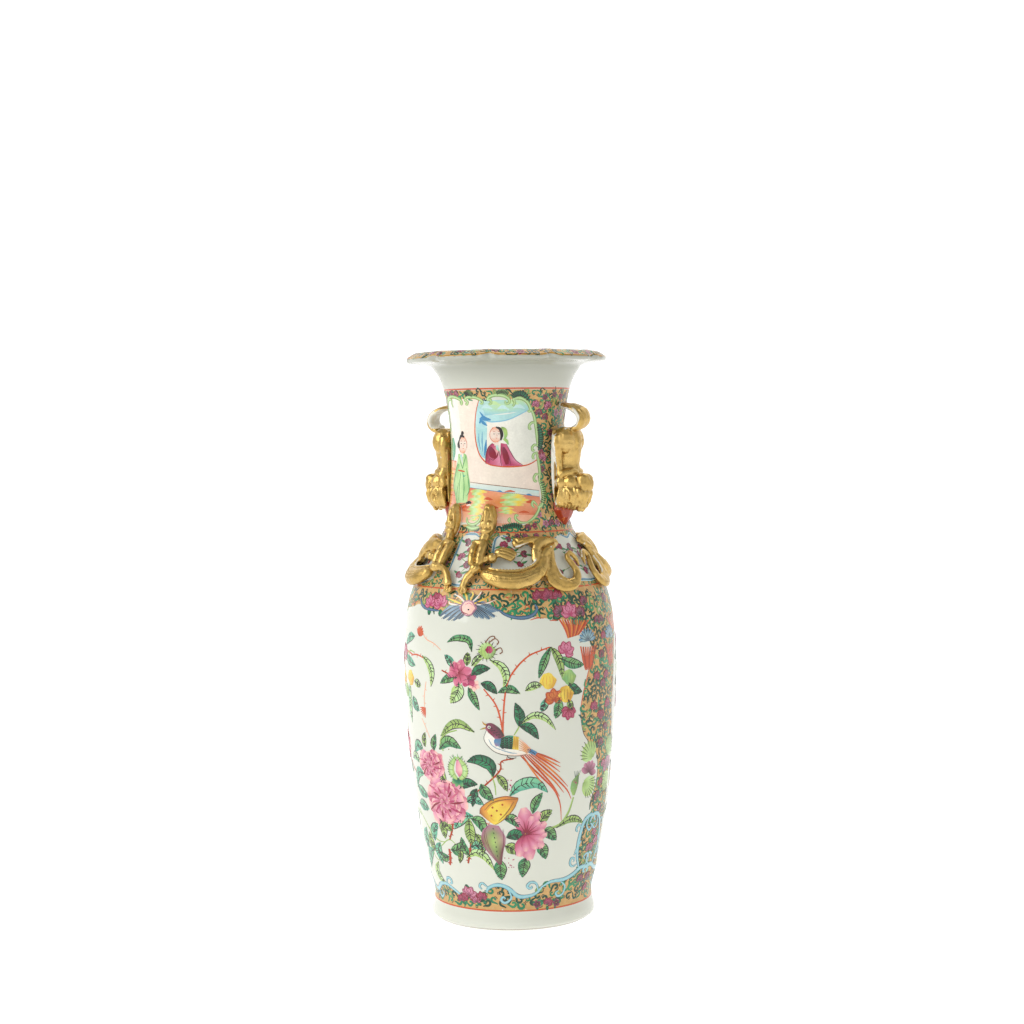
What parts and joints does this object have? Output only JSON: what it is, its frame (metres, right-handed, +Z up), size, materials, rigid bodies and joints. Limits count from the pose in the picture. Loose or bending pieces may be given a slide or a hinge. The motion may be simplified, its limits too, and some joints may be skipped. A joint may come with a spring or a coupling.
{
  "type": "porcelain baluster vase",
  "caption": "Baluster porcelain vase with a lobed trumpet mouth, gilt lion handles on the neck, gilt hornless dragons on the shoulder, and painted bird-and-flower panels.",
  "frame": {"origin": "middle of the foot's rest face", "axes": "+Z up along the axis of the vase, -Y towards the middle of the front panel, handles on +X and -X"},
  "size_m": [0.1318, 0.1318, 0.35],
  "materials": {
    "porcelain": "clear, faintly green glaze painted over with opaque enamels and dull gold",
    "gilding": "burnished gilding over glazed porcelain, rubbed thin along the high edges",
    "iron_red": "glossy iron-red enamel"
  },
  "bodies": {
    "root": {"foot_ring": "porcelain", "lower_body": "porcelain", "upper_body": "porcelain", "neck": "porcelain", "mouth_rim": "porcelain", "chilong_front_right_body": "gilding", "chilong_front_right_head": "gilding", "chilong_front_right_fore_leg": "gilding", "chilong_front_right_hind_leg": "gilding", "chilong_front_right_tail_curl": "gilding", "chilong_front_right_tail_scroll": "gilding", "chilong_front_left_body": "gilding", "chilong_front_left_head": "gilding", "chilong_front_left_fore_leg": "gilding", "chilong_front_left_hind_leg": "gilding", "chilong_front_left_tail_curl": "gilding", "chilong_front_left_tail_scroll": "gilding", "chilong_back_right_body": "gilding", "chilong_back_right_head": "gilding", "chilong_back_right_fore_leg": "gilding", "chilong_back_right_hind_leg": "gilding", "chilong_back_right_tail_curl": "gilding", "chilong_back_right_tail_scroll": "gilding", "chilong_back_left_body": "gilding", "chilong_back_left_head": "gilding", "chilong_back_left_fore_leg": "gilding", "chilong_back_left_hind_leg": "gilding", "chilong_back_left_tail_curl": "gilding", "chilong_back_left_tail_scroll": "gilding", "lion_right_body": "gilding", "lion_right_head": "gilding", "lion_right_tail_loop": "gilding", "lion_right_ribbon": "iron_red", "lion_left_body": "gilding", "lion_left_head": "gilding", "lion_left_tail_loop": "gilding", "lion_left_ribbon": "iron_red"}
  },
  "joints": []
}
